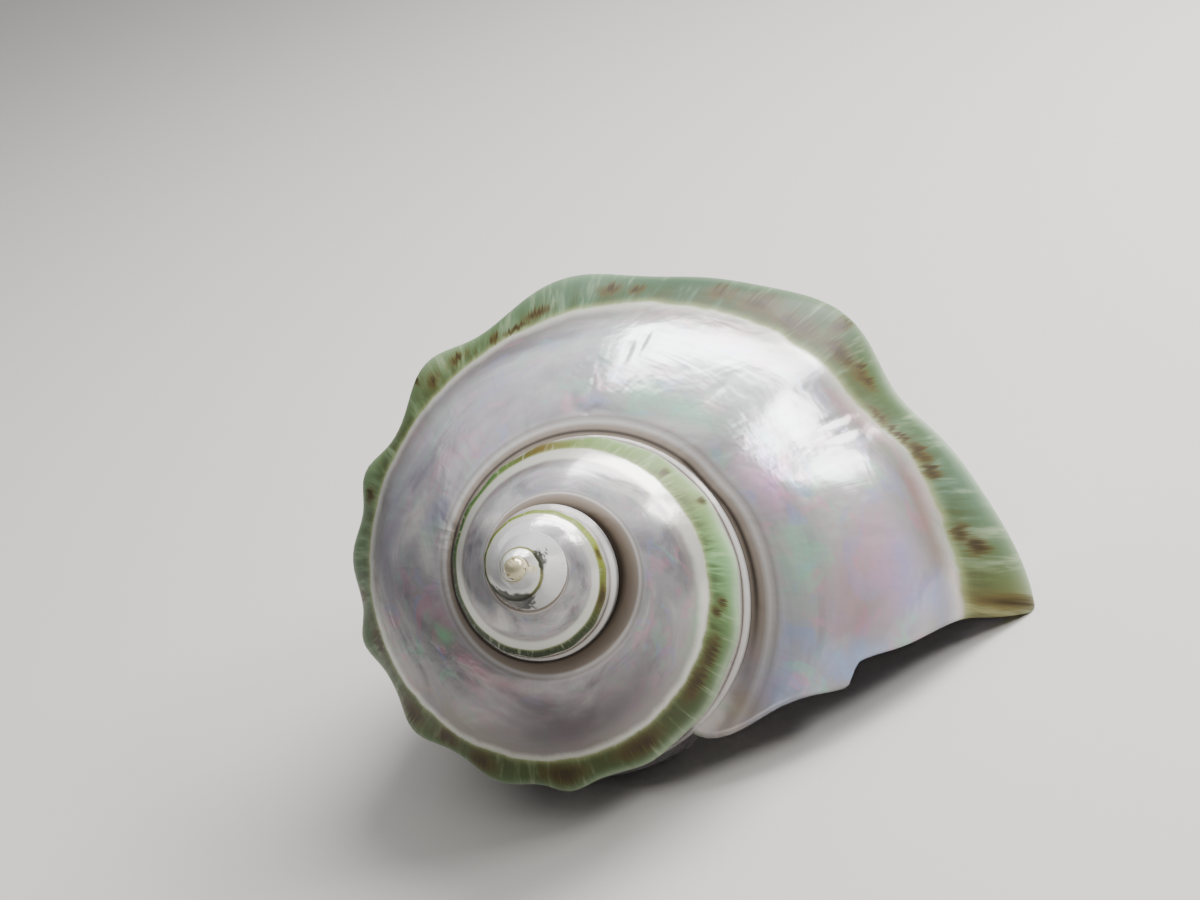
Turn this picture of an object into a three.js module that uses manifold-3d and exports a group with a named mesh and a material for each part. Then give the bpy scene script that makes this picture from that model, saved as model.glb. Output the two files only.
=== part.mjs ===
// Polished sea snail shell: a green turban shell ground back to its mother-of-pearl, resting on its mouth.
// The shell is one piece. Its whorls are one section swept along a helico-spiral that grows by a fixed
// ratio in each turn, fused where they overlap, with the mouth hollowed out of the last whorl.
// Units are millimetres, +Z is up and the origin is on the surface under the middle of the shell.
import * as THREE from "three";
import { mergeVertices } from "three/addons/utils/BufferGeometryUtils.js";
import Module from "manifold-3d";

// Driving dimensions. Section sizes are shares of keelRadius, and places along the spiral are turns:
// 0 is the shoulder keel's end at the lip, and the turns run back from it, negative, to the tip.
const keelRadius = 100; // coiling axis to shoulder keel at the lip
const whorlRatio = 2.5455; // growth of the section in one turn
const tipTurn = -4; // where the spire's tip starts
const spire = { lift: 0.13, middleTurn: -2.75, steepness: 2.2, leanX: 0.008, leanY: -0.024 };
const spireWall = { reach: 0.3, flare: 0.35 }; // the young whorls' side, stretched to the whorl below

// Where the young keel swings out of the even spiral or into it: turn, share of the radius, reach in turns.
const spireSwells = [
  { turn: -1.4, share: -0.04, reach: 0.2 },
  { turn: -2.02, share: -0.06, reach: 0.15 },
  { turn: -2.5, share: 0.12, reach: 0.2 },
  { turn: -2.98, share: -0.3, reach: 0.25 },
];
const swellAtFoot = 0.3; // share of a swell that is left at the foot of the side
const wornTip = { x: 0.0095, y: -0.0226, z: 0.09, radius: 0.0265 };

const keel = { r: 1, z: -0.9145, reach: 0.085 };
const side = { z: -1.2, reach: 0.2, innerR: 0.5, outerR: 0.9, bulge: 0.12, youngTurn: -0.95, oldTurn: -0.7 };
const lowerRidges = [
  { r: 0.955, z: -1.25, reach: 0.06, height: 0.015 },
  { r: 0.85, z: -1.508, reach: 0.06, height: 0.02 },
];

// Knobs on the shoulder keel: place in turns, height as a share of the section, half-width in turns.
const keelKnobs = [
  { turn: 0.012, height: 0.074, reach: 0.046 },
  { turn: -0.139, height: 0.068, reach: 0.033 },
  { turn: -0.193, height: 0.031, reach: 0.034 },
  { turn: -0.274, height: 0.075, reach: 0.039 },
  { turn: -0.359, height: 0.083, reach: 0.025 },
  { turn: -0.43, height: 0.062, reach: 0.018 },
  { turn: -0.481, height: 0.046, reach: 0.025 },
  { turn: -0.538, height: 0.049, reach: 0.017 },
  { turn: -0.61, height: 0.056, reach: 0.022 },
  { turn: -0.686, height: 0.046, reach: 0.027 },
  { turn: -0.742, height: 0.055, reach: 0.02 },
];
const keelSag = -0.027; // the keel's line between two knobs
const sideDip = { turn: -0.091, depth: 0.033, reach: 0.024, tall: 0.6 }; // hollow in the keel and down the side
const youngKnobs = { lastTurn: -0.81, firstGrown: -0.75, spacing: 0.066, height: 0.008 };

// Outline of the whorl: distance from the axis, height below the tip, and the turn where the lip ends it.
const whorlOutline = [
  [0.42, -0.45, 0.16], // suture on the whorl before
  [0.52, -0.485, 0.1],
  [0.64, -0.559, 0.0615], // chip in the lip's edge
  [0.655, -0.568, 0.05],
  [0.78, -0.66, 0.032],
  [0.878, -0.755, 0.019], // inner edge of the green band
  [0.945, -0.83, 0.016],
  [0.98, -0.875, 0.014],
  [1.0, -0.9145, 0.012], // shoulder keel
  [1.0, -0.965, 0.008],
  [0.975, -1.03, 0],
  [0.95, -1.12, -0.012],
  [0.955, -1.25, -0.03],
  [0.925, -1.385, -0.055],
  [0.85, -1.508, -0.08],
  [0.69, -1.598, -0.1],
  [0.5, -1.627, -0.11],
  [0.31, -1.589, -0.11],
  [0.15, -1.487, -0.08],
  [0.05, -1.34, -0.02],
  [0.03, -1.1, 0.06],
  [0.06, -0.8, 0.12],
  [0.15, -0.55, 0.15],
  [0.3, -0.4, 0.16],
];

// Outline of the hollow inside the whorl.
const hollowOutline = [
  [0.47, -0.53],
  [0.6, -0.605],
  [0.74, -0.7],
  [0.85, -0.8],
  [0.9, -0.92],
  [0.905, -1.08],
  [0.9, -1.225],
  [0.86, -1.36],
  [0.78, -1.465],
  [0.65, -1.545],
  [0.48, -1.568],
  [0.33, -1.5],
  [0.235, -1.36],
  [0.2, -1.15],
  [0.24, -0.88],
  [0.35, -0.63],
];
const hollowEndTurn = 0.22; // past the lip, so that the mouth is open

// Pillar round the axis: radius and height.
const pillarOutline = [
  [0, -0.96],
  [0.1, -0.95],
  [0.19, -0.91],
  [0.25, -0.82],
  [0.26, -0.68],
  [0.2, -0.5],
  [0.06, -0.28],
  [0.035, -0.12],
  [0.02, -0.02],
  [0, 0.04],
];

// How the shell lies: the directions that end up on top and in front, in the shell's own frame.
const restUp = new THREE.Vector3(-0.1628, 0.787, 0.5951).normalize();
const restFront = new THREE.Vector3(0.2942, -0.0865, 0.9518);
const restCut = 1; // depth of the flats that it stands on

// Rings of the sweep: places on a knob in shares of its half-width, and the least and most between two rings.
const knobRings = [-1.7, -0.8, 0, 0.8, 1.7];
const ringGap = { least: 0.007, most: 0.026 };

const bell = (offset, reach) => Math.exp(-((offset / reach) ** 2));
const ease = (x) => THREE.MathUtils.smoothstep(x, 0, 1);

function knobHeight(turn) {
  const young = youngKnobs.height * Math.cos((2 * Math.PI * (turn - youngKnobs.lastTurn)) / youngKnobs.spacing);
  const grown = keelKnobs.reduce((sum, k) => sum + k.height * bell(turn - k.turn, k.reach), keelSag);
  const age = (turn - youngKnobs.lastTurn) / (youngKnobs.firstGrown - youngKnobs.lastTurn);
  return THREE.MathUtils.lerp(young, grown, ease(age));
}

// The spire's young whorls stand higher than the spiral alone would put them.
const spireLift = (turn) => spire.lift / (1 + Math.exp(spire.steepness * (turn - spire.middleTurn)));

// A point of the section, at a turn, in the shell's own frame: the tip up and the axis on Z.
function shellPoint(turn, r, z, knobbed) {
  const size = keelRadius * whorlRatio ** turn;
  const angle = -2 * Math.PI * turn;
  const lower = ease((keel.z - z) / spireWall.reach);
  const step = lower * (spireLift(turn) - spireLift(turn + 1));
  const lift = spireLift(turn) - step;
  let reach = r;
  if (knobbed) {
    const offKeel = Math.hypot(r - keel.r, z - keel.z);
    reach += knobHeight(turn) * bell(offKeel, keel.reach);
    reach -= sideDip.depth * bell(turn - sideDip.turn, sideDip.reach) * bell(offKeel, sideDip.tall);
    const youth = 1 - ease((turn - side.youngTurn) / (side.oldTurn - side.youngTurn));
    const outer = ease((r - side.innerR) / (side.outerR - side.innerR));
    reach += side.bulge * youth * bell(z - side.z, side.reach) * outer;
    for (const ridge of lowerRidges)
      reach += ridge.height * bell(Math.hypot(r - ridge.r, z - ridge.z), ridge.reach);
  }
  reach *= 1 + (spireWall.flare * step * keelRadius) / size;
  const swell = spireSwells.reduce((sum, s) => sum + s.share * bell(turn - s.turn, s.reach), 0);
  reach *= 1 + swell * THREE.MathUtils.lerp(1, swellAtFoot, lower);
  return new THREE.Vector3(
    size * reach * Math.cos(angle) + (keelRadius * lift * spire.leanX) / spire.lift,
    size * reach * Math.sin(angle) + (keelRadius * lift * spire.leanY) / spire.lift,
    size * z + keelRadius * lift,
  );
}

// A closed tube through rings of points, each ring a list of Vector3 in the same order.
function tubeGeometry(rings) {
  const count = rings[0].length;
  const positions = rings.flat().flatMap((p) => p.toArray());
  const index = [];
  for (let i = 0; i + 1 < rings.length; i++)
    for (let j = 0; j < count; j++) {
      const k = (j + 1) % count;
      const [a, b, c, d] = [i * count + j, i * count + k, (i + 1) * count + j, (i + 1) * count + k];
      index.push(a, c, b, b, c, d);
    }
  for (const [ring, first] of [
    [rings[0], true],
    [rings.at(-1), false],
  ]) {
    const middle = ring.reduce((sum, p) => sum.add(p), new THREE.Vector3()).divideScalar(count);
    const start = first ? 0 : (rings.length - 1) * count;
    const centre = positions.length / 3;
    positions.push(...middle.toArray());
    for (let j = 0; j < count; j++) {
      const k = (j + 1) % count;
      if (first) index.push(centre, start + j, start + k);
      else index.push(centre, start + k, start + j);
    }
  }
  const geometry = new THREE.BufferGeometry();
  geometry.setAttribute("position", new THREE.Float32BufferAttribute(positions, 3));
  geometry.setIndex(index);
  return geometry;
}

const wasm = await Module();
wasm.setup();

function solidOf(geometry) {
  geometry.deleteAttribute("normal");
  geometry.deleteAttribute("uv");
  const merged = mergeVertices(geometry, 1e-4);
  return new wasm.Manifold(
    new wasm.Mesh({
      numProp: 3,
      vertProperties: merged.attributes.position.array,
      triVerts: new Uint32Array(merged.index.array),
    }),
  );
}

// The whorl's outside through the given turns of its keel. At the lip each line of the outline is
// stretched or shortened to end on the lip's edge.
function whorlSolid(turns, atLip) {
  const [from, to] = [turns[0], turns.at(-1)];
  const rings = turns.map((turn) =>
    whorlOutline.map(([r, z, lipTurn]) => {
      const stretch = atLip ? (lipTurn - from) / (to - from) : 1;
      return shellPoint(from + (turn - from) * stretch, r, z, true);
    }),
  );
  return solidOf(tubeGeometry(rings));
}

function hollowSolid(turns) {
  return solidOf(tubeGeometry(turns.map((turn) => hollowOutline.map(([r, z]) => shellPoint(turn, r, z, false)))));
}

const evenTurns = (from, to, steps) =>
  Array.from({ length: steps + 1 }, (unused, i) => from + ((to - from) * i) / steps);

// Rings stand on each knob, on its flanks and in the dips between, and evenly where there are no knobs.
function knobTurns(from, to) {
  const turns = new Set([from, to]);
  for (const { turn, reach } of [...keelKnobs, sideDip])
    for (const place of knobRings) {
      const at = turn + place * reach;
      if (at > from + ringGap.least / 2 && at < to - ringGap.least / 2) turns.add(at);
    }
  const sorted = [...turns].sort((a, b) => a - b);
  const spread = [sorted[0]];
  for (const turn of sorted.slice(1)) {
    const gap = turn - spread.at(-1);
    if (turn !== to && gap < ringGap.least) continue;
    const extra = Math.ceil(gap / ringGap.most) - 1;
    for (let i = 1; i <= extra; i++) spread.push(turn - gap + (gap * i) / (extra + 1));
    spread.push(turn);
  }
  return spread;
}

const lipTurn = whorlOutline.find(([r]) => r === keel.r)[2];
const whorlTurns = [
  knobTurns(-0.5, lipTurn),
  knobTurns(-1, -0.5),
  evenTurns(-1.5, -1, 16),
  evenTurns(-2, -1.5, 14),
  evenTurns(-2.5, -2, 12),
  evenTurns(-3, -2.5, 10),
  evenTurns(-3.5, -3, 9),
  evenTurns(tipTurn, -3.5, 7),
];
const whorls = whorlTurns.map((turns, i) => whorlSolid(turns, i === 0));
const pillarPoints = pillarOutline.map(([r, z]) => new THREE.Vector2(r * keelRadius, z * keelRadius));
const pillar = solidOf(new THREE.LatheGeometry(pillarPoints, 20).rotateX(Math.PI / 2));
const tipBall = new THREE.SphereGeometry(wornTip.radius * keelRadius, 18, 10);
tipBall.translate(wornTip.x * keelRadius, wornTip.y * keelRadius, wornTip.z * keelRadius);
let shell = whorls.reduce((all, whorl) => all.add(whorl)).add(pillar).add(solidOf(tipBall));
const hollowTurns = [evenTurns(0, hollowEndTurn, 5), evenTurns(-0.5, 0, 13), evenTurns(-1, -0.5, 13)];
hollowTurns.forEach((turns, i) => {
  shell = shell.subtract(hollowSolid(turns).subtract(whorls[i + 1]).subtract(pillar));
});

// The seams between the swept pieces can leave specks inside the wall, which are filled.
shell = shell.decompose().sort((a, b) => b.volume() - a.volume())[0];

function geometryOf(solid) {
  const made = solid.getMesh();
  const geometry = new THREE.BufferGeometry();
  geometry.setAttribute("position", new THREE.BufferAttribute(made.vertProperties, 3));
  geometry.setIndex(new THREE.BufferAttribute(made.triVerts, 1));
  geometry.computeBoundingBox();
  return geometry;
}

// Lay the shell down, cut the flats that it stands on, and put the origin under its middle.
const back = restFront.clone().addScaledVector(restUp, -restFront.dot(restUp)).normalize().negate();
const right = new THREE.Vector3().crossVectors(back, restUp);
const lay = new THREE.Matrix4().makeBasis(right, back, restUp).transpose();
const lying = geometryOf(shell).applyMatrix4(lay);
lying.computeBoundingBox();
const floorDepth = 40;
const floor = new THREE.BoxGeometry(4 * keelRadius, 4 * keelRadius, floorDepth);
floor.translate(0, 0, lying.boundingBox.min.z + restCut - floorDepth / 2);
const rested = geometryOf(solidOf(lying).subtract(solidOf(floor)));
const box = rested.boundingBox;
rested.translate(-(box.min.x + box.max.x) / 2, -(box.min.y + box.max.y) / 2, -box.min.z);

const pearl = new THREE.MeshStandardMaterial({ color: 0xd9d4d6, roughness: 0.25, metalness: 0.1 });
const mesh = new THREE.Mesh(rested, pearl);
mesh.name = "shell";
const group = new THREE.Group();
group.add(mesh);
export default group;
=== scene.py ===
import bpy
import math
from mathutils import Matrix, Quaternion, Vector


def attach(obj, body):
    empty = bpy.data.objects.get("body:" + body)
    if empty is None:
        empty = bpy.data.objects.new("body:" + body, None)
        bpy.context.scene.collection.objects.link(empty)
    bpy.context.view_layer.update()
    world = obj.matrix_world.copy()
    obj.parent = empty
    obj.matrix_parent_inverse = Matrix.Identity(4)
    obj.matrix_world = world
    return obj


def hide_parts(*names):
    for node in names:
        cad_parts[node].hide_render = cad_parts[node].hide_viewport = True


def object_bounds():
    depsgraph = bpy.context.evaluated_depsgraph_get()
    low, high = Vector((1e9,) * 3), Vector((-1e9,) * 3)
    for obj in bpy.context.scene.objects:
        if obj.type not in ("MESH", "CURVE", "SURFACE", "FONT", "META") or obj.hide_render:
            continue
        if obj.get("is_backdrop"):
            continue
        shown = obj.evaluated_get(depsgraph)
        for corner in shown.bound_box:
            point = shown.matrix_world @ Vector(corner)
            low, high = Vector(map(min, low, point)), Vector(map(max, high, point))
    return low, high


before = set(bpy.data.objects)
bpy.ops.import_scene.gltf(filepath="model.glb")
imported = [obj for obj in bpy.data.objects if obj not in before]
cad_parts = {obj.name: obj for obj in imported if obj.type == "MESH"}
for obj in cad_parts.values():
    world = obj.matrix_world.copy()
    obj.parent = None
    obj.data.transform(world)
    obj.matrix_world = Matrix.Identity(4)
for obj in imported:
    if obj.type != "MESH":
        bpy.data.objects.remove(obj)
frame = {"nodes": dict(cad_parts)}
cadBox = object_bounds()
print("frame loaded:", ", ".join(frame["nodes"]))


class Val:
    # one output socket; arithmetic on it adds Math nodes to its tree
    def __init__(self, board, socket):
        self.board = board
        self.socket = socket

    def __add__(self, other):
        return self.board.maths("ADD", self, other)

    def __radd__(self, other):
        return self.board.maths("ADD", other, self)

    def __sub__(self, other):
        return self.board.maths("SUBTRACT", self, other)

    def __rsub__(self, other):
        return self.board.maths("SUBTRACT", other, self)

    def __mul__(self, other):
        return self.board.maths("MULTIPLY", self, other)

    def __rmul__(self, other):
        return self.board.maths("MULTIPLY", other, self)

    def __truediv__(self, other):
        return self.board.maths("DIVIDE", self, other)

    def __rtruediv__(self, other):
        return self.board.maths("DIVIDE", other, self)

    def __pow__(self, other):
        return self.board.maths("POWER", self, other)

    def __neg__(self):
        return self.board.maths("MULTIPLY", self, -1.0)

    def __lt__(self, other):
        return self.board.maths("LESS_THAN", self, other)

    def __gt__(self, other):
        return self.board.maths("GREATER_THAN", self, other)


class Board:
    # a node tree that is filled in from Python
    def __init__(self, tree):
        self.tree = tree

    def add(self, kind, settings=None, inputs=None, out=0):
        node = self.tree.nodes.new(kind)
        for name, value in (settings or {}).items():
            if name == "stops":
                self.setStops(node.color_ramp, value)
            else:
                setattr(node, name, value)
        for name, value in (inputs or {}).items():
            for one in value if isinstance(value, list) else [value]:
                self.plug(one, node.inputs[name])
        self.last = node
        return Val(self, node.outputs[out])

    def plug(self, value, socket):
        if isinstance(value, Val):
            self.tree.links.new(value.socket, socket)
        else:
            socket.default_value = value

    def setStops(self, ramp, stops):
        while len(ramp.elements) > 1:
            ramp.elements.remove(ramp.elements[-1])
        for i, (place, colour) in enumerate(stops):
            stop = ramp.elements[0] if i == 0 else ramp.elements.new(place)
            stop.position = place
            stop.color = colour

    def maths(self, operation, *values):
        return self.add("ShaderNodeMath", {"operation": operation}, dict(enumerate(values)))

    def step(self, value, low, high):  # smooth 0 to 1
        return self.add("ShaderNodeMapRange", {"interpolation_type": "SMOOTHSTEP"},
                        {"Value": value, "From Min": low, "From Max": high})

    def bell(self, offset, reach):
        share = offset / reach
        return self.maths("EXPONENT", -(share * share))

    def hypot(self, a, b):
        return self.maths("SQRT", a * a + b * b)

    def vector(self, x=0.0, y=0.0, z=0.0):
        return self.add("ShaderNodeCombineXYZ", None, {0: x, 1: y, 2: z})

    def split(self, vector):
        self.add("ShaderNodeSeparateXYZ", None, {0: vector})
        return [Val(self, self.last.outputs[i]) for i in range(3)]

    def blend(self, share, a, b):  # colours
        return self.add("ShaderNodeMix", {"data_type": "RGBA"}, {0: share, 6: a, 7: b}, out=2)

    def noise(self, place, scale, detail=3.0, rough=0.5, warp=0.0):
        return self.add("ShaderNodeTexNoise", None, {"Vector": place, "Scale": scale, "Detail": detail,
                        "Roughness": rough, "Distortion": warp})


def tone(code):  # sRGB hex to the linear colour that the nodes take
    parts = [int(code[i:i + 2], 16) / 255 for i in (0, 2, 4)]
    return tuple(p / 12.92 if p <= 0.04045 else ((p + 0.055) / 1.055) ** 2.4 for p in parts) + (1.0,)


# the shell's shape: section sizes are shares of keelRadius, places along the spiral are turns from the lip
shellShape = {
    "keelRadius": 0.1,
    "whorlRatio": 2.5455,
    "keel": (1.0, -0.9145, 0.085),  # radius, height, reach
    # height, reach, inner and outer radius, bulge, and the turns over which the bulge goes
    "side": (-1.2, 0.2, 0.5, 0.9, 0.12, -0.95, -0.7),
    # radius, height, reach and size of the low ridges on the side
    "ridges": ((0.955, -1.25, 0.06, 0.015), (0.85, -1.508, 0.06, 0.02)),
    "spire": (0.13, -2.75, 2.2),  # lift, middle turn, steepness
    "spireWall": (0.3, 0.35),  # reach, flare
    "spireLean": (0.008, -0.024),
    "swells": (  # turn, share, reach
        (-1.4, -0.04, 0.2), (-2.02, -0.06, 0.15), (-2.5, 0.12, 0.2), (-2.98, -0.3, 0.25)),
    "swellOnWall": 0.3,  # share of a swell that is left at the side's foot
    "nub": (0.0095, -0.0226, 0.09, 0.0265),  # worn tip: place and radius
    "nubMarks": (-4.0, 0.3),  # turn and around that its colour goes by
    "nubSides": (40, 20),
    "knobs": (  # turn, height, reach
        (0.012, 0.074, 0.046), (-0.139, 0.068, 0.033), (-0.193, 0.031, 0.034), (-0.274, 0.075, 0.039),
        (-0.359, 0.083, 0.025), (-0.43, 0.062, 0.018), (-0.481, 0.046, 0.025), (-0.538, 0.049, 0.017),
        (-0.61, 0.056, 0.022), (-0.686, 0.046, 0.027), (-0.742, 0.055, 0.02)),
    "knobSag": -0.027,
    "sideDip": (-0.091, 0.033, 0.024, 0.6),  # turn, depth, reach, reach down the side
    "youngKnobs": (-0.81, -0.75, 0.066, 0.008),  # last turn, first grown turn, spacing, height
    "whorl": (  # radius, height, turn where the lip ends it; from the axis up, out and round
        (0.03, -1.1, 0.06), (0.06, -0.8, 0.12), (0.15, -0.55, 0.15), (0.3, -0.4, 0.16),
        (0.42, -0.45, 0.148), (0.52, -0.485, 0.093), (0.65, -0.565, 0.057), (0.78, -0.66, 0.032),
        (0.878, -0.755, 0.019), (0.945, -0.83, 0.016), (0.98, -0.875, 0.014), (1.0, -0.9145, 0.012),
        (1.0, -0.965, 0.008), (0.975, -1.03, 0.0), (0.95, -1.12, -0.012), (0.955, -1.25, -0.03),
        (0.925, -1.385, -0.055), (0.85, -1.508, -0.08), (0.69, -1.598, -0.1), (0.5, -1.627, -0.11),
        (0.31, -1.589, -0.11), (0.15, -1.487, -0.08), (0.05, -1.34, -0.02)),
    "keelPoint": 11,  # which of these is the keel
    "chipSpans": (5, 6),  # spans with closer points, for the chip
    "chip": (0.648, 0.006, 0.004, 0.08, 0.45),  # radius, size, edge, reach, least radius
    "hollow": (
        (0.47, -0.53), (0.6, -0.605), (0.74, -0.7), (0.85, -0.8), (0.9, -0.92), (0.905, -1.08),
        (0.9, -1.225), (0.86, -1.36), (0.78, -1.465), (0.65, -1.545), (0.48, -1.568), (0.33, -1.5),
        (0.235, -1.36), (0.2, -1.15), (0.24, -0.88), (0.35, -0.63)),
    "pillar": ((0.004, -0.96), (0.1, -0.95), (0.19, -0.91), (0.25, -0.82), (0.26, -0.68), (0.2, -0.5),
               (0.06, -0.28), (0.035, -0.12), (0.02, -0.02), (0.002, 0.04)),
    "halfTurnRings": (150, 120, 80, 70, 60, 50, 40, 30),  # from the lip back to the tip
    "hollowRings": (40, 70, 60),
    "hollowEnd": 0.22,
    "lipRound": 0.012,  # rounding of the lip's edge
    "lipTuck": (0.6, -1.1, 0.45, 0.2, 0.4),  # middle it rounds to, half width, radii where it starts
    "pillarSides": 64,
    "pillarMarks": (0.0, -1.6, 0.5),  # turn, around and inner
    "pillarPoints": 4,
    "spanPoints": 6,  # outline points between two of the points above
    "chipPoints": 18,
    "sharpAngle": 0.6,
    "smallestIsland": 2000,  # faces; the joins leave thin flakes smaller than this
    "right": (0.8966745, 0.3696627, -0.2435657),  # how it lies
    "back": (-0.4116690, 0.4939544, -0.7658575),
    "up": (-0.1627986, 0.7869934, 0.5950950),
    "place": (-0.0366923, -0.0577950, 0.0778750),
    "fit": 0.9975,  # keeps the smooth curves inside the faceted solid's box
}


def smoothLoop(points, counts, closed=True):
    # centripetal Catmull-Rom through the points, each a tuple of numbers
    made = []
    n = len(points)
    last = n if closed else n - 1
    for i in range(last):
        near = [(i + k) % n if closed else min(max(i + k, 0), n - 1) for k in (-1, 0, 1, 2)]
        p = [Vector(points[k]) for k in near]
        if not closed and i == 0:
            p[0] = 2 * p[1] - p[2]
        if not closed and i == n - 2:
            p[3] = 2 * p[2] - p[1]
        t = [0.0]
        for a, b in zip(p, p[1:]):
            t.append(t[-1] + math.sqrt((b - a).length))
        for k in range(counts[i]):
            x = t[1] + (t[2] - t[1]) * k / counts[i]
            a = [p[j] * ((t[j + 1] - x) / (t[j + 1] - t[j])) + p[j + 1] * ((x - t[j]) / (t[j + 1] - t[j]))
                 for j in range(3)]
            b = [a[j] * ((t[j + 2] - x) / (t[j + 2] - t[j])) + a[j + 1] * ((x - t[j]) / (t[j + 2] - t[j]))
                 for j in range(2)]
            made.append(b[0] * ((t[2] - x) / (t[2] - t[1])) + b[1] * ((x - t[1]) / (t[2] - t[1])))
    if not closed:
        made.append(Vector(points[-1]))
    return made


def outlineObject(name, points, around):
    # points are (radius, lip turn, height); around is the way along the outline, from the keel
    mesh = bpy.data.meshes.new(name)
    mesh.from_pydata(points, [(i, i + 1) for i in range(len(points) - 1)], [])
    mesh.attributes.new("around", "FLOAT", "POINT").data.foreach_set("value", around)
    obj = bpy.data.objects.new(name, mesh)
    bpy.context.collection.objects.link(obj)
    return obj


def wayAlong(points, start):
    way = [0.0]
    for a, b in zip(points, points[1:]):
        way.append(way[-1] + math.hypot(b[0] - a[0], b[1] - a[1]))
    return [way[start] - w for w in way]


def makeOutlines(shape):
    counts = [shape["spanPoints"]] * len(shape["whorl"])
    for span in shape["chipSpans"]:
        counts[span] = shape["chipPoints"]
    loop = smoothLoop(shape["whorl"], counts)
    chipRadius, size, edge, reach, leastRadius = shape["chip"]
    points = []
    for r, z, lip in loop:
        if z > shape["keel"][1] and r > leastRadius:
            lip += size * math.tanh((chipRadius - r) / edge) * math.exp(-((r - chipRadius) / reach) ** 2)
        points.append((r, lip, z))
    keelIndex = sum(counts[:shape["keelPoint"]])
    whorl = outlineObject("whorlOutline", points, wayAlong([(p[0], p[2]) for p in points], keelIndex))
    loop = smoothLoop(shape["hollow"], [shape["spanPoints"]] * len(shape["hollow"]))
    hollow = outlineObject("hollowOutline", [(p[0], 0.0, p[1]) for p in loop], wayAlong(loop, 0))
    line = smoothLoop(shape["pillar"], [shape["pillarPoints"]] * len(shape["pillar"]), closed=False)
    pillar = outlineObject("pillarOutline", [(p[0], 0.0, p[1]) for p in line], wayAlong(line, 0))
    return whorl, hollow, pillar


def newGroup(name, inputs, outputs):
    tree = bpy.data.node_groups.new(name, "GeometryNodeTree")
    kinds = {"F": "NodeSocketFloat", "I": "NodeSocketInt", "V": "NodeSocketVector",
             "G": "NodeSocketGeometry", "O": "NodeSocketObject", "M": "NodeSocketMaterial"}
    for title, kind in inputs:
        tree.interface.new_socket(title, in_out="INPUT", socket_type=kinds[kind])
    for title, kind in outputs:
        tree.interface.new_socket(title, in_out="OUTPUT", socket_type=kinds[kind])
    board = Board(tree)
    entry = tree.nodes.new("NodeGroupInput")
    takes = {title: Val(board, socket) for (title, kind), socket in zip(inputs, entry.outputs)}
    return board, takes


def marked(board, mesh, turn, around, inner):
    # stores what the material goes by
    for name, value in (("turn", turn), ("around", around), ("inner", inner)):
        mesh = board.add("GeometryNodeStoreNamedAttribute", {"data_type": "FLOAT", "domain": "CORNER"},
                         {"Geometry": mesh, "Name": name, "Value": value})
    return mesh


def giveOut(board, **values):
    node = board.tree.nodes.new("NodeGroupOutput")
    for title, value in values.items():
        board.plug(value, node.inputs[title])


def knobGroup(shape):
    # height of the keel's knobs at a turn
    b, got = newGroup("keelKnobs", [("Turn", "F")], [("Height", "F")])
    turn = got["Turn"]
    height = shape["knobSag"]
    for place, tall, reach in shape["knobs"]:
        height = height + tall * b.bell(turn - place, reach)
    lastTurn, firstGrown, spacing, small = shape["youngKnobs"]
    young = small * b.maths("COSINE", (turn - lastTurn) * (2 * math.pi / spacing))
    grown = b.step(turn, lastTurn, firstGrown)
    giveOut(b, Height=young + (height - young) * grown)
    return b.tree


def spiralGroup(shape, knobs):
    # a point of the section, at a turn, with the axis on Z and the tip up
    b, got = newGroup("spiralPoint", [("Turn", "F"), ("Radius", "F"), ("Height", "F"), ("Knobbed", "F"),
                                      ("Keel Radius", "F"), ("Whorl Ratio", "F")], [("Point", "V")])
    turn, r, z = got["Turn"], got["Radius"], got["Height"]
    keelR, keelZ, keelReach = shape["keel"]
    grown = got["Whorl Ratio"] ** turn
    lift, middle, steep = shape["spire"]

    def liftAt(place):
        return lift / (1.0 + b.maths("EXPONENT", (place - middle) * steep))

    wallReach, flare = shape["spireWall"]
    lower = b.step((keelZ - z) / wallReach, 0.0, 1.0)
    drop = lower * (liftAt(turn) - liftAt(turn + 1.0))
    raised = liftAt(turn) - drop
    tall = b.add("GeometryNodeGroup", {"node_tree": knobs}, {"Turn": turn})
    offKeel = b.hypot(r - keelR, z - keelZ)
    extra = tall * b.bell(offKeel, keelReach)
    dipTurn, depth, dipReach, dipTall = shape["sideDip"]
    extra = extra - depth * b.bell(turn - dipTurn, dipReach) * b.bell(offKeel, dipTall)
    sideZ, sideReach, innerR, outerR, bulge, young, old = shape["side"]
    youth = 1.0 - b.step(turn, young, old)
    extra = extra + bulge * youth * b.bell(z - sideZ, sideReach) * b.step(r, innerR, outerR)
    for ridgeR, ridgeZ, reach, height in shape["ridges"]:
        extra = extra + height * b.bell(b.hypot(r - ridgeR, z - ridgeZ), reach)
    far = (r + got["Knobbed"] * extra) * (1.0 + flare * drop / grown)
    swell = 0.0
    for place, share, reach in shape["swells"]:
        swell = swell + share * b.bell(turn - place, reach)
    far = far * (1.0 + swell * (1.0 - (1.0 - shape["swellOnWall"]) * lower))
    angle = turn * (-2 * math.pi)
    size = got["Keel Radius"]
    leanX, leanY = shape["spireLean"]
    giveOut(b, Point=b.vector(size * (grown * far * b.maths("COSINE", angle) + raised * (leanX / lift)),
                              size * (grown * far * b.maths("SINE", angle) + raised * (leanY / lift)),
                              size * (grown * z + raised)))
    return b.tree


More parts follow.
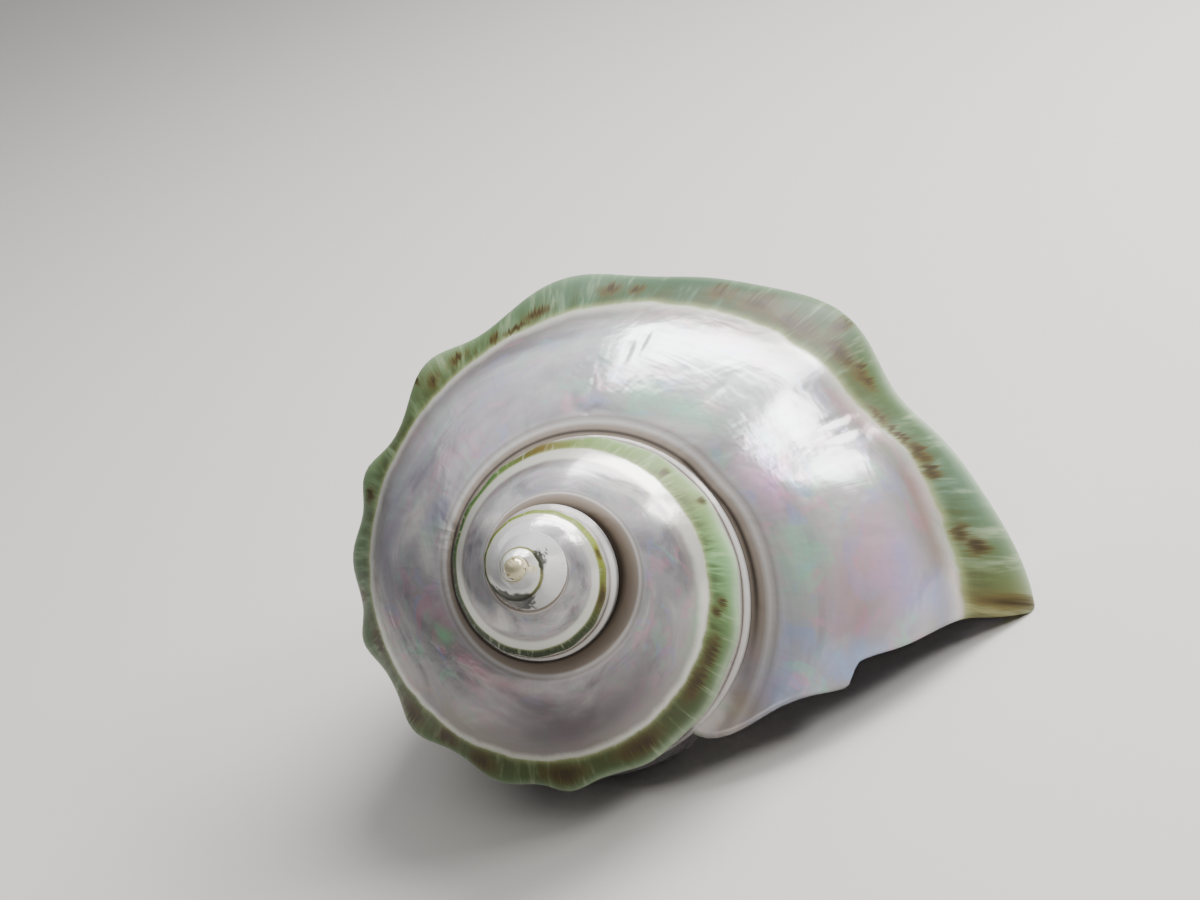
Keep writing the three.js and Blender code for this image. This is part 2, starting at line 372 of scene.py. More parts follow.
def sweepGroup(shape, spiral, fill):
    # a closed tube: a cylinder whose rings are laid on the outline along the spiral
    b, got = newGroup("sweepWhorl", [("Outline", "O"), ("From", "F"), ("To", "F"), ("Rings", "I"),
                                     ("At Lip", "F"), ("Knobbed", "F"), ("Inner", "F"),
                                     ("Keel Radius", "F"), ("Whorl Ratio", "F")], [("Mesh", "G")])
    b.add("GeometryNodeObjectInfo", None, {"Object": got["Outline"]})
    outline = Val(b, b.last.outputs["Geometry"])
    b.add("GeometryNodeAttributeDomainSize", {"component": "MESH"}, {"Geometry": outline})
    count = Val(b, b.last.outputs["Point Count"])
    tube = b.add("GeometryNodeMeshCylinder", {"fill_type": fill},
                 {"Vertices": count, "Side Segments": got["Rings"], "Radius": 1.0, "Depth": 1.0})
    x, y, z = b.split(b.add("GeometryNodeInputPosition"))
    share = z + 0.5
    share = share + got["At Lip"] * ((1.0 - (1.0 - share) ** 1.5) - share)  # closer rings at the lip
    slot = b.maths("ROUND", b.maths("WRAP", b.maths("ARCTAN2", y, x) / (2 * math.pi), 1.0, 0.0) * count)
    slot = b.maths("FLOORED_MODULO", slot, count)
    where = b.add("GeometryNodeInputPosition")
    spot = b.add("GeometryNodeSampleIndex", {"data_type": "FLOAT_VECTOR"},
                 {"Geometry": outline, "Value": where, "Index": slot})
    way = b.add("GeometryNodeInputNamedAttribute", {"data_type": "FLOAT"}, {"Name": "around"})
    around = b.add("GeometryNodeSampleIndex", {"data_type": "FLOAT"},
                   {"Geometry": outline, "Value": way, "Index": slot})
    b.add("GeometryNodeAttributeStatistic", {"data_type": "FLOAT_VECTOR"},
          {"Geometry": outline, "Attribute": where})
    middle = b.split(next(Val(b, o) for o in b.last.outputs if o.name == "Mean" and o.enabled))
    capMiddle = b.hypot(x, y) < 0.5  # the fan's middle point goes to the outline's
    r, lip, height = (v + capMiddle * (m - v) for v, m in zip(b.split(spot), middle))
    end = got["To"] + got["At Lip"] * (lip - got["To"])
    turn = got["From"] + (end - got["From"]) * share
    left = (end - turn) * (2 * math.pi) * r  # way left to the lip's edge
    roundness = shape["lipRound"]
    middleR, middleZ, halfWidth, tuckFrom, tuckFull = shape["lipTuck"]
    inside = b.maths("MAXIMUM", 1.0 - left / roundness, 0.0)
    sunk = 1.0 - b.maths("SQRT", b.maths("MAXIMUM", 1.0 - inside * inside, 0.0))
    tuck = got["At Lip"] * roundness * sunk / halfWidth * b.step(r, tuckFrom, tuckFull)
    point = b.add("GeometryNodeGroup", {"node_tree": spiral}, {
        "Turn": turn, "Radius": r + (middleR - r) * tuck, "Height": height + (middleZ - height) * tuck,
        "Knobbed": got["Knobbed"], "Keel Radius": got["Keel Radius"], "Whorl Ratio": got["Whorl Ratio"]})
    tube = marked(b, tube, turn, around, got["Inner"])
    tube = b.add("GeometryNodeSetPosition", None, {"Geometry": tube, "Position": point})
    giveOut(b, Mesh=b.add("GeometryNodeFlipFaces", None, {"Mesh": tube}))
    return b.tree


def pillarGroup(shape):
    b, got = newGroup("turnPillar", [("Outline", "O"), ("Sides", "I"), ("Keel Radius", "F")],
                      [("Mesh", "G")])
    b.add("GeometryNodeObjectInfo", None, {"Object": got["Outline"]})
    outline = Val(b, b.last.outputs["Geometry"])
    b.add("GeometryNodeAttributeDomainSize", {"component": "MESH"}, {"Geometry": outline})
    count = Val(b, b.last.outputs["Point Count"])
    tube = b.add("GeometryNodeMeshCylinder", {"fill_type": "NGON"}, {"Vertices": got["Sides"],
                 "Side Segments": count - 1.0, "Radius": 1.0, "Depth": 1.0})
    x, y, z = b.split(b.add("GeometryNodeInputPosition"))
    slot = b.maths("ROUND", (z + 0.5) * (count - 1.0))
    where = b.add("GeometryNodeInputPosition")
    spot = b.add("GeometryNodeSampleIndex", {"data_type": "FLOAT_VECTOR"},
                 {"Geometry": outline, "Value": where, "Index": slot})
    r, _, height = b.split(spot)
    size = got["Keel Radius"]
    tube = marked(b, tube, *shape["pillarMarks"])
    giveOut(b, Mesh=b.add("GeometryNodeSetPosition", None, {
        "Geometry": tube, "Position": b.vector(x * r * size, y * r * size, height * size)}))
    return b.tree


def shellGroup(shape):
    spiral = spiralGroup(shape, knobGroup(shape))
    sweeps = [sweepGroup(shape, spiral, fill) for fill in ("NGON", "TRIANGLE_FAN")]
    b, got = newGroup("growShell", [
        ("Whorl Outline", "O"), ("Hollow Outline", "O"), ("Pillar Outline", "O"), ("Keel Radius", "F"),
        ("Whorl Ratio", "F"), ("Hollow End", "F"), ("Pillar Sides", "I"), ("Sharp Angle", "F"),
        ("Smallest Island", "I"), ("Place", "V"), ("Turned", "V"), ("Finish", "M")], [("Mesh", "G")])

    def swept(outline, start, end, rings, atLip, knobbed, inner):
        return b.add("GeometryNodeGroup", {"node_tree": sweeps[int(atLip)]}, {
            "Outline": got[outline], "From": start, "To": end, "Rings": rings, "At Lip": atLip,
            "Knobbed": knobbed, "Inner": inner, "Keel Radius": got["Keel Radius"],
            "Whorl Ratio": got["Whorl Ratio"]})

    def joined(operation, first, others):
        inputs = {"Mesh 2": others}
        if first:
            inputs["Mesh 1"] = first
        return b.add("GeometryNodeMeshBoolean", {"operation": operation, "solver": "MANIFOLD"}, inputs)

    whorls = [swept("Whorl Outline", -0.5 * (i + 1), -0.5 * i, rings, 1.0 if i == 0 else 0.0, 1.0, 0.0)
              for i, rings in enumerate(shape["halfTurnRings"])]
    pillar = b.add("GeometryNodeGroup", {"node_tree": pillarGroup(shape)}, {
        "Outline": got["Pillar Outline"], "Sides": got["Pillar Sides"], "Keel Radius": got["Keel Radius"]})
    nubX, nubY, nubZ, nubSize = (v * shape["keelRadius"] for v in shape["nub"])
    segments, rings = shape["nubSides"]
    nub = b.add("GeometryNodeMeshUVSphere", None, {"Segments": segments, "Rings": rings, "Radius": nubSize})
    nub = b.add("GeometryNodeTransform", None, {"Geometry": nub, "Translation": (nubX, nubY, nubZ)})
    nub = marked(b, nub, *shape["nubMarks"], 0.0)
    solid = joined("UNION", None, whorls + [pillar, nub])
    ends = [(0.0, got["Hollow End"]), (-0.5, 0.0), (-1.0, -0.5)]
    rooms = []
    for (start, end), rings, older in zip(ends, shape["hollowRings"], whorls[1:]):
        room = swept("Hollow Outline", start, end, rings, 0.0, 0.0, 1.0)
        rooms.append(joined("DIFFERENCE", room, [older, pillar]))
    solid = joined("DIFFERENCE", solid, rooms)
    b.add("GeometryNodeInputMeshIsland")
    island = Val(b, b.last.outputs["Island Index"])
    b.add("GeometryNodeAccumulateField", {"data_type": "INT", "domain": "FACE"},
          {"Value": 1, "Group ID": island})
    faces = Val(b, b.last.outputs["Total"])
    solid = b.add("GeometryNodeDeleteGeometry", {"domain": "FACE"}, {"Geometry": solid,
                  "Selection": faces < got["Smallest Island"]})
    solid = b.add("GeometryNodeTransform", None, {"Geometry": solid, "Translation": got["Place"],
                  "Rotation": got["Turned"]})
    fit = shape["fit"]
    solid = b.add("GeometryNodeTransform", None, {"Geometry": solid, "Scale": (fit, fit, fit)})
    x, y, z = b.split(b.add("GeometryNodeInputPosition"))
    solid = b.add("GeometryNodeSetPosition", None, {"Geometry": solid,  # flats that it stands on
                  "Position": b.vector(x, y, b.maths("MAXIMUM", z, 0.0))})
    solid = b.add("GeometryNodeSetShadeSmooth", {"domain": "FACE"},
                  {"Geometry": solid, "Shade Smooth": True})
    sharp = b.add("GeometryNodeInputMeshEdgeAngle") > got["Sharp Angle"]
    solid = b.add("GeometryNodeSetShadeSmooth", {"domain": "EDGE"}, {"Geometry": solid, "Selection": sharp,
                  "Shade Smooth": False})
    solid = b.add("GeometryNodeRealizeInstances", None, {"Geometry": solid})
    giveOut(b, Mesh=b.add("GeometryNodeSetMaterial", None, {"Geometry": solid, "Material": got["Finish"]}))
    return b.tree


def growShell(shape, finish):
    outlines = makeOutlines(shape)
    obj = bpy.data.objects.new("turbanShell", bpy.data.meshes.new("turbanShell"))
    bpy.context.collection.objects.link(obj)
    modifier = obj.modifiers.new("growth", "NODES")
    modifier.node_group = shellGroup(shape)
    turned = Matrix((shape["right"], shape["back"], shape["up"])).to_euler()
    values = {"Whorl Outline": outlines[0], "Hollow Outline": outlines[1], "Pillar Outline": outlines[2],
              "Keel Radius": shape["keelRadius"], "Whorl Ratio": shape["whorlRatio"],
              "Hollow End": shape["hollowEnd"], "Pillar Sides": shape["pillarSides"],
              "Sharp Angle": shape["sharpAngle"], "Smallest Island": shape["smallestIsland"],
              "Place": shape["place"], "Turned": tuple(turned), "Finish": finish}
    for item in modifier.node_group.interface.items_tree:
        if item.in_out == "INPUT":
            modifier[item.identifier] = values[item.name]
    grown = obj.evaluated_get(bpy.context.evaluated_depsgraph_get())
    mesh = bpy.data.meshes.new_from_object(grown)
    obj.modifiers.clear()
    obj.data = mesh
    for helper in outlines:
        bpy.data.objects.remove(helper)
    triangles = sum(len(p.vertices) - 2 for p in mesh.polygons)
    print("shell grown:", len(mesh.vertices), "points,", triangles, "triangles")
    return obj


# the shell's colours: places are turns from the lip, and around is the way over the section from the keel
shellFinish = {
    "pearl": ("7d797f", "aba8aa", "d2cfcb"),  # dark, middle, light
    "pearlPatch": (9.0, 4.0),  # patches in a turn, and over the section
    "sheenPatch": (26.0, 8.0),
    "sheens": (("d795ad", 0.53, 0.64, 0.6), ("8fcfac", 0.54, 0.65, 0.55), ("929fd6", 0.56, 0.67, 0.5)),
    "wanSheen": 0.22,  # how strong the sheens are elsewhere
    "vivid": (  # turn, reach, amount
        (-0.02, 0.17, 0.75), (-0.58, 0.07, 0.5), (-0.95, 0.1, 0.4), (-0.3, 0.12, 0.3)),
    "streaks": (150.0, 2.0),
    "streakTone": ("6f656b", 0.14),
    "ripples": (34.0, 5.0),
    "cloudScale": 55.0,
    "grainScale": 500.0,
    "wobble": (0.07, 0.16),  # how far the tints stray, in turns and over the section
    "tintsAndPaintedLight": (  # turn, around, reach in turns, reach over the section, colour, strength; the near-white tint at turn -0.125 is a painted highlight, and the dark purple-grey one at turn -0.77 is painted shade
        (-0.007, 0.42, 0.03, 0.08, "e2a9ba", 0.6), (0.016, 0.53, 0.025, 0.05, "dba7b6", 0.5),
        (-0.081, 0.63, 0.035, 0.05, "d596bf", 0.55), (-0.151, 0.61, 0.04, 0.06, "86c8a4", 0.6),
        (-0.01, 0.63, 0.03, 0.07, "93cdab", 0.55), (-0.58, 0.6, 0.016, 0.05, "74d19b", 0.95),
        (-0.56, 0.64, 0.03, 0.06, "c98fa6", 0.45), (-0.66, 0.6, 0.07, 0.05, "c79aa3", 0.5),
        (-0.954, 0.27, 0.03, 0.03, "93d9aa", 0.75), (0.0, 0.36, 0.02, 0.05, "b3afe0", 0.5),
        (0.09, 0.69, 0.03, 0.08, "93abd8", 0.6), (0.045, 0.5, 0.012, 0.1, "8faad6", 0.7),
        # the last entry on the next line, dark purple-grey at turn -0.77, is painted shade on the lower
        # side
        (0.012, 0.28, 0.01, 0.09, "9fade0", 0.6), (-0.77, 0.4, 0.14, 0.2, "45383f", 0.9),
        (-0.64, 0.3, 0.05, 0.08, "6f6a52", 0.5), (-0.03, 0.24, 0.04, 0.03, "a9836a", 0.6),
        (0.12, 0.72, 0.03, 0.05, "b0936c", 0.6), (0.02, 0.5, 0.02, 0.05, "8a7e72", 0.35),
        # the second entry on the next line, near white at turn -0.125, is a painted highlight
        (-0.12, 0.61, 0.014, 0.05, "7d757a", 0.7), (-0.125, 0.42, 0.08, 0.12, "eceaec", 0.6),
        (-0.22, 0.4, 0.08, 0.1, "c4dbd7", 0.4), (-0.33, 0.45, 0.1, 0.2, "aca3b4", 0.3),
        (-0.45, 0.35, 0.08, 0.1, "9e98ab", 0.4)),
    "dents": (  # turn, around, reach in turns, reach over the section, depth; the depth also darkens the colour as painted shade in the dents
        (-0.25, 0.63, 0.005, 0.03, 0.6), (-0.243, 0.67, 0.006, 0.02, 0.8),
        (-0.233, 0.685, 0.006, 0.014, 0.9), (-0.227, 0.672, 0.004, 0.014, 0.7),
        (-0.277, 0.5, 0.01, 0.05, 0.5), (-0.265, 0.42, 0.008, 0.05, 0.4),
        (-0.217, 0.44, 0.003, 0.05, 0.5), (-0.21, 0.39, 0.0025, 0.05, 0.5),
        (-0.147, 0.5, 0.004, 0.05, 0.4), (-0.09, 0.31, 0.003, 0.06, 0.6),
        (-0.081, 0.33, 0.003, 0.06, 0.6)),
    "band": (  # turn and colour along the keel
        (-4.0, "a39a70"), (-3.2, "5f6130"), (-3.0, "2e2a10"), (-2.9, "7a7a48"), (-2.75, "11150a"),
        (-2.55, "232c10"), (-2.4, "55641f"), (-2.25, "6f7d2c"), (-2.05, "7d8a2e"), (-1.92, "4a4f14"),
        (-1.85, "2c3a14"), (-1.7, "1f2d10"), (-1.5, "2b4523"), (-1.34, "44652f"), (-1.27, "5a4510"),
        (-1.2, "67873f"), (-1.08, "7f9557"), (-1.0, "73a06a"), (-0.95, "5f7f4a"), (-0.88, "41512a"),
        (-0.75, "47572c"), (-0.6, "4e5f36"), (-0.5, "617859"), (-0.36, "64774f"), (-0.26, "46644a"),
        (-0.2, "35523b"), (-0.12, "3d5230"), (-0.1, "4a5f36"), (-0.04, "4f6b54"), (0.0, "4e6038"),
        (0.02, "8d8654")),
    "bandWidth": (0.1, 0.2, -1.4, -1.0),  # young, grown, and the turns between which it widens
    "bandFoot": (-0.09, -0.045, -0.9, -0.6),  # grown, young, and the turns between
    "bandFray": (45.0, 3.0, 0.05),  # its edge: waves in a turn, over the section, size
    "bandLines": (120.0, 2.5),
    "bandHair": (600.0, 2.0),
    "bandTones": ("b4bf9c", "3a401c", "9da672", "a9bb9f"),  # pale lines, inner shade, inner edge, painted highlight along the crest
    "rust": ("5d4410", "281a05"),  # gold, dark
    "rustSpots": (  # turn, around, reach in turns, reach over the section
        (-0.957, 0.14, 0.007, 0.04), (-0.968, 0.1, 0.006, 0.04), (-0.918, 0.12, 0.02, 0.05),
        (-0.89, 0.13, 0.02, 0.05), (0.009, 0.06, 0.005, 0.12), (-0.018, 0.15, 0.006, 0.035),
        (-0.012, 0.12, 0.004, 0.04), (-0.049, 0.16, 0.005, 0.035), (-0.06, 0.16, 0.006, 0.035),
        (-0.07, 0.17, 0.008, 0.02), (-0.083, 0.165, 0.008, 0.02), (-0.105, 0.1, 0.008, 0.03),
        (-0.12, 0.12, 0.014, 0.035), (-0.13, 0.05, 0.003, 0.05), (-0.145, 0.13, 0.018, 0.04),
        (-0.168, 0.1, 0.01, 0.05), (-0.188, 0.09, 0.007, 0.045), (-0.245, 0.1, 0.006, 0.035),
        (-0.23, 0.11, 0.004, 0.035), (-0.285, 0.13, 0.01, 0.03), (-0.298, 0.16, 0.009, 0.025),
        (-0.313, 0.14, 0.004, 0.05), (-0.34, 0.1, 0.006, 0.035), (-0.361, 0.11, 0.006, 0.04),
        (-0.368, 0.02, 0.002, 0.05), (-0.44, 0.1, 0.006, 0.04), (-0.507, 0.06, 0.005, 0.07),
        (-0.544, 0.15, 0.012, 0.04), (-0.6, 0.1, 0.014, 0.06), (-0.635, 0.13, 0.012, 0.06),
        (-0.67, 0.1, 0.012, 0.07), (-0.74, 0.11, 0.02, 0.06), (-0.813, 0.12, 0.025, 0.06),
        (-1.117, 0.08, 0.006, 0.05), (-1.072, 0.03, 0.006, 0.04), (-2.03, 0.02, 0.02, 0.06),
        (-1.93, 0.03, 0.03, 0.07)),
    "cream": "d6d5ca",
    "creamLine": (0.012, 0.11, -0.85, -1.15),  # width when grown and young, and the turns between
    # painted shade of the groove inside the cream line: colour, reach, strength, and the turns where it
    # comes in
    "groove": ("857b72", 0.06, 0.5, -2.2, -1.6),
    "tip": (-1.9, -2.5, "dad9d8"),  # turns between which the pearl turns to porcelain, and its colour
    "tipPatch": ((-2.68, 0.0, 0.13, 0.33), (-3.06, 0.02, 0.1, 0.16)),  # dark patches, as rustSpots
    "tipShade": "1c200d",
    "nub": ("cfc6a2", "6b5f3a"),
    "nubTurns": (-3.9, -3.98),
    "wall": (  # around and colour on the side under the keel
        (-0.36, "5b5046"), (-0.27, "2a2522"), (-0.235, "1d1a18"), (-0.22, "a5a09c"), (-0.2, "d8d6d4"),
        (-0.15, "cfccc9"), (-0.13, "8f8780"), (-0.115, "4f4640"), (-0.098, "9a948d"), (-0.05, "c3c0b8")),
    "wallTurns": (-2.3, -1.8, -0.9, -0.7),  # turns over which the side's lines come and go
    "wallReach": (-0.03, -0.05, -0.34, -0.38),  # around where they come and go
    "suture": (  # around and colour on the ramp's inner edge; the light line at 0.618 is partly the shell's own pale line and partly a painted highlight
        (0.57, "a6a2a4"), (0.585, "bdb9b9"), (0.6, "9a9491"), (0.618, "c6c2bf"), (0.632, "978b80"),
        (0.69, "776a5c"), (0.72, "3d342c")),
    "sutureShift": (0.1, -1.1, -0.5),  # it narrows by this between two turns
    "sutureReach": (0.57, 0.61, 0.78, 0.84),  # around where its colours come and go
    "sutureByLip": (0.6, 0.03, 0.12),  # they fade by this between two turns
    "seam": ("2a2420", 0.85, 0.75, 0.007, 0.03),  # colour, strength, around, reach when grown and young
    "inside": ("a8a3ad", "cfcacd"),
    "rough": (0.13, 0.14),  # least, and how much more on the streaks
    "bandRough": 0.27,
    "metal": 0.3,
    "coat": 0.35,
    "coatRough": 0.06,
    "specular": 0.32,
    "calm": (0.25, -0.95, -0.55),  # share of the relief on the young whorls, and the turns between
    "bump": (0.4, 0.0012),
}


def shellMaterial(look):
    material = bpy.data.materials.new("pearlShell")
    material.use_nodes = True
    b = Board(material.node_tree)
    shader = material.node_tree.nodes["Principled BSDF"]
    turn = b.add("ShaderNodeAttribute", {"attribute_name": "turn"}, out=2)
    around = b.add("ShaderNodeAttribute", {"attribute_name": "around"}, out=2)
    inner = b.add("ShaderNodeAttribute", {"attribute_name": "inner"}, out=2)
    body = b.add("ShaderNodeTexCoord", None, None, out=3)

    def laid(perTurn, across, layer=0.0):  # a place on the shell's skin, for the noises
        return b.vector(turn * perTurn, around * across, inner + layer)

    def ramp(value, pairs):
        low, high = pairs[0][0], pairs[-1][0]
        stops = [((place - low) / (high - low), tone(code)) for place, code in pairs]
        return b.add("ShaderNodeValToRGB", {"stops": stops}, {0: (value - low) / (high - low)})

    def spots(places, shiftTurn, shiftAround):
        most = 0.0
        for place, over, reach, reachOver in places:
            spot = b.bell(turn + shiftTurn - place, reach) * b.bell(around + shiftAround - over, reachOver)
            most = b.maths("MAXIMUM", most, spot)
        return most

    # mother-of-pearl: silvery, with soft patches, sheens, placed tints (one a painted highlight, one
    # painted shade) and growth streaks
    patch = b.noise(laid(*look["pearlPatch"]), 1.0, 4.0, 0.55, 0.6)
    streak = b.noise(laid(*look["streaks"]), 1.0, 3.0, 0.6)
    cloud = b.noise(body, look["cloudScale"], 3.0, 0.5, 0.8)
    dark, middle, light = (tone(code) for code in look["pearl"])
    pearl = b.blend(b.step(patch, 0.3, 0.52), dark, middle)
    pearl = b.blend(b.step(patch, 0.5, 0.72), pearl, light)
    vivid = look["wanSheen"]
    for place, reach, amount in look["vivid"]:
        vivid = vivid + amount * b.bell(turn - place, reach)
    for i, (code, low, high, strength) in enumerate(look["sheens"]):
        sheen = b.noise(laid(*look["sheenPatch"], layer=3.0 * i + 5.0), 1.0, 3.0, 0.5, 1.2)
        pearl = b.blend(b.step(sheen, low, high) * vivid * strength, pearl, tone(code))
    strayTurn, strayAround = look["wobble"]
    wobbleTurn = turn + (cloud - 0.5) * strayTurn
    wobbleAround = around + (patch - 0.5) * strayAround
    # placed tints, among them a painted highlight and a patch of painted shade
    for place, over, reach, reachOver, code, strength in look["tintsAndPaintedLight"]:
        mask = b.bell(wobbleTurn - place, reach) * b.bell(wobbleAround - over, reachOver) * strength
        pearl = b.blend(mask, pearl, tone(code))
    streakCode, streakStrength = look["streakTone"]
    pearl = b.blend(b.step(streak, 0.5, 0.8) * streakStrength, pearl, tone(streakCode))
    tipFrom, tipTo, tipCode = look["tip"]
    pearl = b.blend(b.step(turn, tipFrom, tipTo) * 0.85, pearl, tone(tipCode))

    # inner edge of the ramp, by the suture, and the side under the keel
    narrow, narrowFrom, narrowTo = look["sutureShift"]
    inward = around - narrow * b.step(turn, narrowFrom, narrowTo)
    inFrom, inFull, outFrom, outEnd = look["sutureReach"]
    fade, fadeFrom, fadeTo = look["sutureByLip"]
    bySuture = b.step(inward, inFrom, inFull) * b.step(around, outEnd, outFrom)
    bySuture = bySuture * (1.0 - fade * b.step(turn, fadeFrom, fadeTo))
    # suture colours, with a painted highlight in the light line at 0.618
    pearl = b.blend(bySuture, pearl, ramp(inward, look["suture"]))
    topFrom, topFull, footFull, footEnd = look["wallReach"]
    youngFrom, youngFull, oldFrom, oldEnd = look["wallTurns"]
    onWall = b.step(around, topFrom, topFull) * b.step(around, footEnd, footFull)
    onWall = onWall * b.step(turn, youngFrom, youngFull) * b.step(turn, oldEnd, oldFrom)
    pearl = b.blend(onWall, pearl, ramp(around, look["wall"]))
    seamCode, seamStrength, seamAt, seamGrown, seamYoung = look["seam"]
    thin = seamYoung + (seamGrown - seamYoung) * b.step(turn, -2.2, -1.3)
    seam = b.bell(around - seamAt, thin) * b.step(turn, 0.1, 0.0)
    pearl = b.blend(seam * seamStrength, pearl, tone(seamCode))

    # milky line, and painted shade of the groove, along the band's inner edge
    young, grown, fromTurn, toTurn = look["bandWidth"]
    age = b.step(turn, fromTurn, toTurn)
    frayTurn, frayAcross, fraySize = look["bandFray"]
    frayed = b.noise(laid(frayTurn, frayAcross), 1.0, 3.0, 0.6) - 0.5
    top = young + (grown - young) * age + frayed * fraySize * age
    footGrown, footYoung, footFrom, footTo = look["bandFoot"]
    foot = footYoung + (footGrown - footYoung) * b.step(turn, footFrom, footTo)
    lineGrown, lineYoung, grownTurn, youngTurn = look["creamLine"]
    lineEnd = top + lineYoung + (lineGrown - lineYoung) * b.step(turn, youngTurn, grownTurn)
    grooveCode, grooveReach, grooveStrength, grooveFrom, grooveFull = look["groove"]
    # painted shade along the groove inside the cream line
    groove = b.bell(around - lineEnd - grooveReach * 0.6, grooveReach)
    groove = groove * b.step(turn, grooveFrom, grooveFull)
    pearl = b.blend(groove * grooveStrength, pearl, tone(grooveCode))
    cream = b.step(around, lineEnd + 0.045, lineEnd - 0.015) * b.step(around, top - 0.02, top)
    pearl = b.blend(cream * (0.92 - 0.4 * b.step(turn, -0.2, -0.05)), pearl, tone(look["cream"]))

    # the green band along the keel: pale crest with a painted highlight, darker inner side, fine lines
    # across, rust flecks
    lines = b.noise(laid(*look["bandLines"]), 1.0, 4.0, 0.65, 0.3)
    hair = b.noise(laid(*look["bandHair"]), 1.0, 3.0, 0.6)
    paleLine, innerShade, innerEdge, crestHighlight = (tone(code) for code in look["bandTones"])
    inside = b.step(around, 0.02, 0.15) * age
    green = ramp(turn, look["band"])
    green = b.blend(b.step(lines, 0.52, 0.72) * (0.5 - 0.3 * inside), green, paleLine)
    green = b.blend(inside * b.step(lines, 0.62, 0.4) * 0.75, green, innerShade)
    green = b.blend(b.bell(around - top, 0.025) * 0.55, green, innerEdge)
    # painted highlight along the keel's crest
    green = b.blend(b.bell(around + 0.02, 0.045) * age * (0.35 + 0.5 * lines), green, crestHighlight)
    rustGold, rustDark = (tone(code) for code in look["rust"])
    rusty = spots(look["rustSpots"], (lines - 0.5) * 0.02, (hair - 0.5) * 0.12)
    broken = rusty * (hair * 1.4 + lines * 0.8 - 0.3)
    green = b.blend(b.step(rusty, 0.0, 0.8) * 0.6, green, rustGold)
    green = b.blend(b.step(broken, 0.15, 1.0) * 0.9, green, rustDark)
    green = b.blend(b.step(hair, 0.55, 0.75) * inside * 0.4, green, rustGold)
    band = b.step(around, top + 0.015, top - 0.015) * b.step(around, foot - 0.02, foot + 0.02)
    skin = b.blend(band, pearl, green)
    grain = b.noise(body, look["grainScale"], 3.0, 0.55, 0.5)
    olive = spots(look["tipPatch"], (grain - 0.5) * 0.12, (grain - 0.5) * 0.3)
    skin = b.blend(b.step(olive, 0.35, 0.6) * 0.95, skin, tone(look["tipShade"]))
    nubPale, nubDark = (tone(code) for code in look["nub"])
    worn = b.blend(b.step(grain, 0.55, 0.65), nubPale, nubDark)
    skin = b.blend(b.step(turn, *look["nubTurns"]), skin, worn)

    # inside of the mouth
    insideDark, insideLight = (tone(code) for code in look["inside"])
    room = b.blend(cloud, insideDark, insideLight)
    skin = b.blend(b.step(inner, 0.4, 0.6), skin, room)

    # small dents, with painted shade in them, and ripples
    dentedAndShaded = 0.0
    for place, over, reach, reachOver, depth in look["dents"]:
        dentedAndShaded = dentedAndShaded + depth * b.bell(turn - place, reach) * b.bell(around - over, reachOver)
    # painted shade in the dents
    skin = b.blend(dentedAndShaded * 0.45, skin, dark)
    b.plug(skin, shader.inputs["Base Color"])
    least, more = look["rough"]
    b.plug(least + streak * more + band * look["bandRough"], shader.inputs["Roughness"])
    b.plug(look["metal"] * (1.0 - band), shader.inputs["Metallic"])
    b.plug(look["coat"] * (1.0 - 0.9 * band), shader.inputs["Coat Weight"])
    shader.inputs["Coat Roughness"].default_value = look["coatRough"]
    shader.inputs["Specular IOR Level"].default_value = look["specular"]
    ripple = b.noise(laid(*look["ripples"]), 1.0, 2.0, 0.5, 0.8)
    strength, depth = look["bump"]
    calmYoung, calmFrom, calmTo = look["calm"]
    calm = calmYoung + (1.0 - calmYoung) * b.step(turn, calmFrom, calmTo)
    relief = (streak * 0.08 + patch + cloud * 0.6 + ripple * 0.5) * calm - dentedAndShaded * 0.8
    bump = b.add("ShaderNodeBump", None, {"Strength": strength, "Distance": depth, "Height": relief})
    b.plug(bump, shader.inputs["Normal"])
    return material


shell = growShell(shellShape, shellMaterial(shellFinish))
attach(shell, "root")
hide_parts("shell")


# floor and soft studio light
stageSetup = {
    "floorSize": 8.0,
    "floorTone": "cfccc7",
    "floorRough": 0.85,
    "worldTone": "c3c6cc",
    "worldPower": 0.15,
}


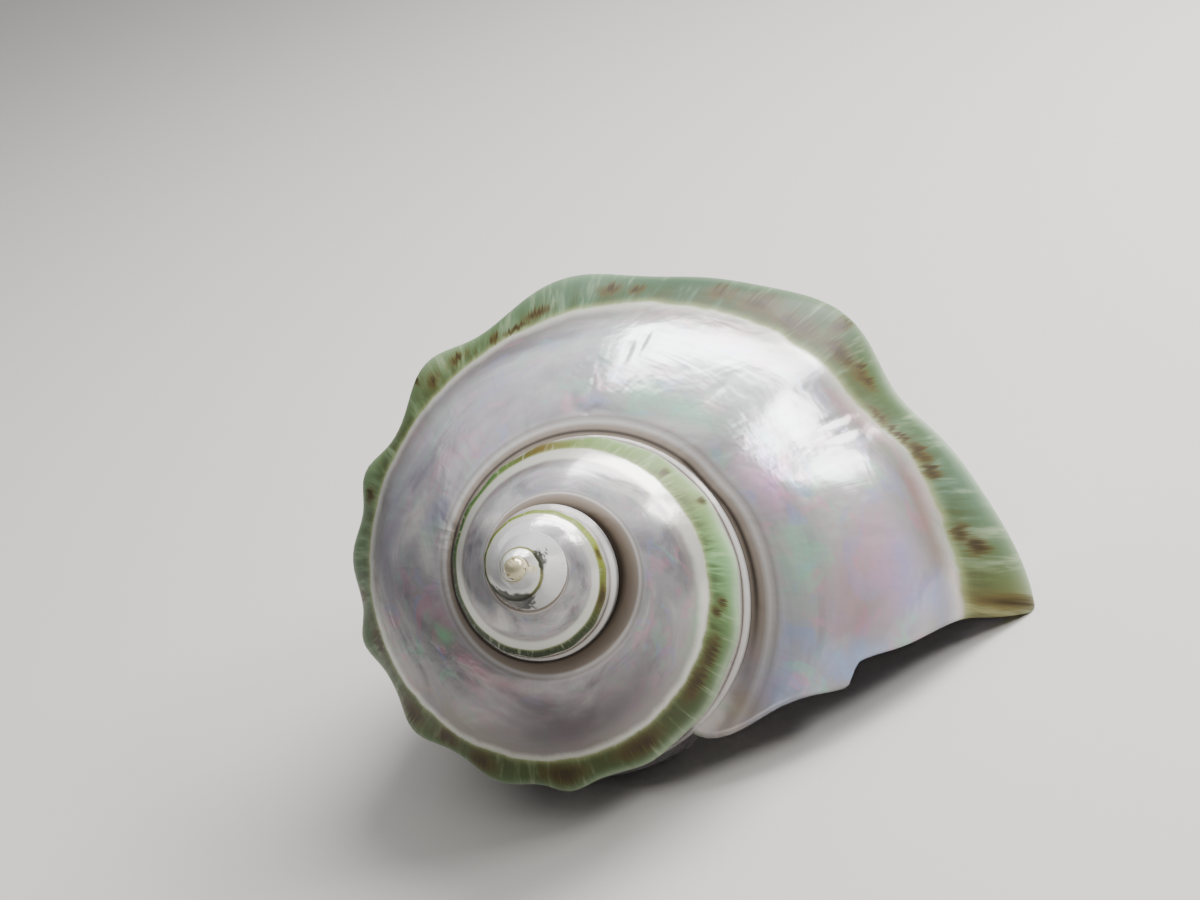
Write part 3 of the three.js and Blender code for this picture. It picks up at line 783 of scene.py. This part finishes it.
def makeStage(setup):
    mesh = bpy.data.meshes.new("studioFloor")
    s = setup["floorSize"] / 2
    mesh.from_pydata([(-s, -s, 0), (s, -s, 0), (s, s, 0), (-s, s, 0)], [], [(0, 1, 2, 3)])
    floor = bpy.data.objects.new("studioFloor", mesh)
    bpy.context.collection.objects.link(floor)
    material = bpy.data.materials.new("paleFloor")
    material.use_nodes = True
    shader = material.node_tree.nodes["Principled BSDF"]
    shader.inputs["Base Color"].default_value = tone(setup["floorTone"])
    shader.inputs["Roughness"].default_value = setup["floorRough"]
    mesh.materials.append(material)
    floor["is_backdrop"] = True
    world = bpy.data.worlds.new("studio")
    world.use_nodes = True
    back = world.node_tree.nodes["Background"]
    back.inputs["Color"].default_value = tone(setup["worldTone"])
    back.inputs["Strength"].default_value = setup["worldPower"]
    bpy.context.scene.world = world


makeStage(stageSetup)

lightRig = (  # name, place, aim, size, roll, watts
    ("softKey", (0.58, 0.24, 0.8), (0.02, 0.0, 0.06), (0.85, 0.33), 0.785, 22.0),
    ("softSide", (0.79, -0.25, 0.6), (0.03, -0.02, 0.06), (0.3, 0.22), 0.0, 5.5),
    ("overhead", (0.0, 0.4, 3.0), (0.0, 0.4, 0.0), (5.0, 5.0), 0.0, 88.0),
)


def makeLights(rig):
    for name, place, aim, size, roll, watts in rig:
        lamp = bpy.data.lights.new(name, "AREA")
        lamp.shape = "RECTANGLE"
        lamp.size, lamp.size_y = size
        lamp.energy = watts
        obj = bpy.data.objects.new(name, lamp)
        obj.location = place
        facing = (Vector(aim) - Vector(place)).to_track_quat("-Z", "Y")
        obj.rotation_euler = (facing @ Quaternion((0, 0, 1), roll)).to_euler()
        bpy.context.collection.objects.link(obj)


makeLights(lightRig)

viewPoint = {
    "place": (-0.03454, -0.44353, 0.27271),
    "right": (0.92771, -0.19829, -0.31627),
    "up": (0.36961, 0.36941, 0.85264),
    "back": (-0.05225, -0.90788, 0.41592),
    "lens": 58.739,
}


def makeCamera(view):
    lens = bpy.data.cameras.new("photoView")
    lens.lens = view["lens"]
    lens.sensor_width = 36.0
    lens.clip_start = 0.01
    camera = bpy.data.objects.new("photoView", lens)
    axes = Matrix((view["right"], view["up"], view["back"])).transposed()
    camera.matrix_world = Matrix.Translation(view["place"]) @ axes.to_4x4()
    bpy.context.collection.objects.link(camera)
    bpy.context.scene.camera = camera


makeCamera(viewPoint)
print("stage, lights and camera in place")

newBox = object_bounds()
for title, box in (("solid", cadBox), ("scene", newBox)):
    print(title, "box in mm:", [[round(v * 1000, 2) for v in corner] for corner in box])
